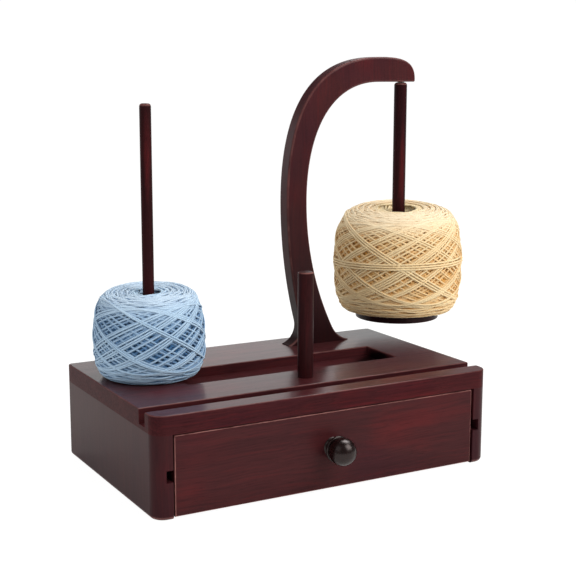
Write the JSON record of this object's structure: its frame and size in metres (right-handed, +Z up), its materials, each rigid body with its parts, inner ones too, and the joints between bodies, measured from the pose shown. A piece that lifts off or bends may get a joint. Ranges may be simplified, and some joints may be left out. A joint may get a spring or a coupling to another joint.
{
  "type": "yarn dispenser box",
  "caption": "Desk-top yarn box with a drawer, a spindle, a rest post and a curved arm that hangs a turning yarn rod.",
  "frame": {"origin": "middle of the cabinet's lower back edge, on the surface it stands on", "axes": "+X along the front to the right seen from the front, +Y to the back, +Z up along the spindle"},
  "size_m": [0.382, 0.2488, 0.3406],
  "materials": {
    "stained_wood": "satin lacquer over dark red-brown stain",
    "dowel_wood": "bare",
    "drawer_floor": "stained thin ply",
    "steel": "plated",
    "magnet": "nickel plated",
    "knob_lacquer": "gloss black-brown lacquer",
    "blue_yarn": "soft plied yarn",
    "cream_yarn": "soft plied yarn"
  },
  "bodies": {
    "case": {"top_board": "stained_wood", "left_side": "stained_wood", "right_side": "stained_wood", "back_panel": "stained_wood", "case_dowels": "dowel_wood", "back_dowels": "dowel_wood", "spindle": "stained_wood", "rest_post": "stained_wood", "arm": "stained_wood", "arm_screws": "steel", "arm_magnet": "magnet"},
    "drawer": {"drawer_front": "stained_wood", "drawer_left_side": "stained_wood", "drawer_right_side": "stained_wood", "drawer_back": "stained_wood", "drawer_bottom": "drawer_floor", "drawer_dowels": "dowel_wood", "left_runner": "stained_wood", "right_runner": "stained_wood", "runner_screws": "steel", "knob": "knob_lacquer", "knob_screw": "steel"},
    "pivot": {"pivot_pin": "steel"},
    "pendulum": {"hanging_rod": "stained_wood", "saucer": "stained_wood", "saucer_screw": "steel", "cream_yarn_cake": "cream_yarn"},
    "blue_yarn": {"blue_yarn_cake": "blue_yarn"}
  },
  "joints": [
    {"name": "drawer_slide", "type": "slide", "parent": "case", "child": "drawer", "axis": [0, -1, 0], "range_m": [0, 0.13]},
    {"name": "magnet_pull_off", "type": "slide", "parent": "case", "child": "pivot", "axis": [1, 0, 0], "range_m": [0, 0.13]},
    {"name": "rod_spin", "type": "hinge", "parent": "pivot", "child": "pendulum", "pos_m": [0.1683, -0.0265, 0.3], "axis": [0, 0, 1], "continuous": true},
    {"name": "blue_cake_spin", "type": "hinge", "parent": "case", "child": "blue_yarn", "pos_m": [-0.1054, -0.0695, 0.1], "axis": [0, 0, 1], "continuous": true}
  ]
}
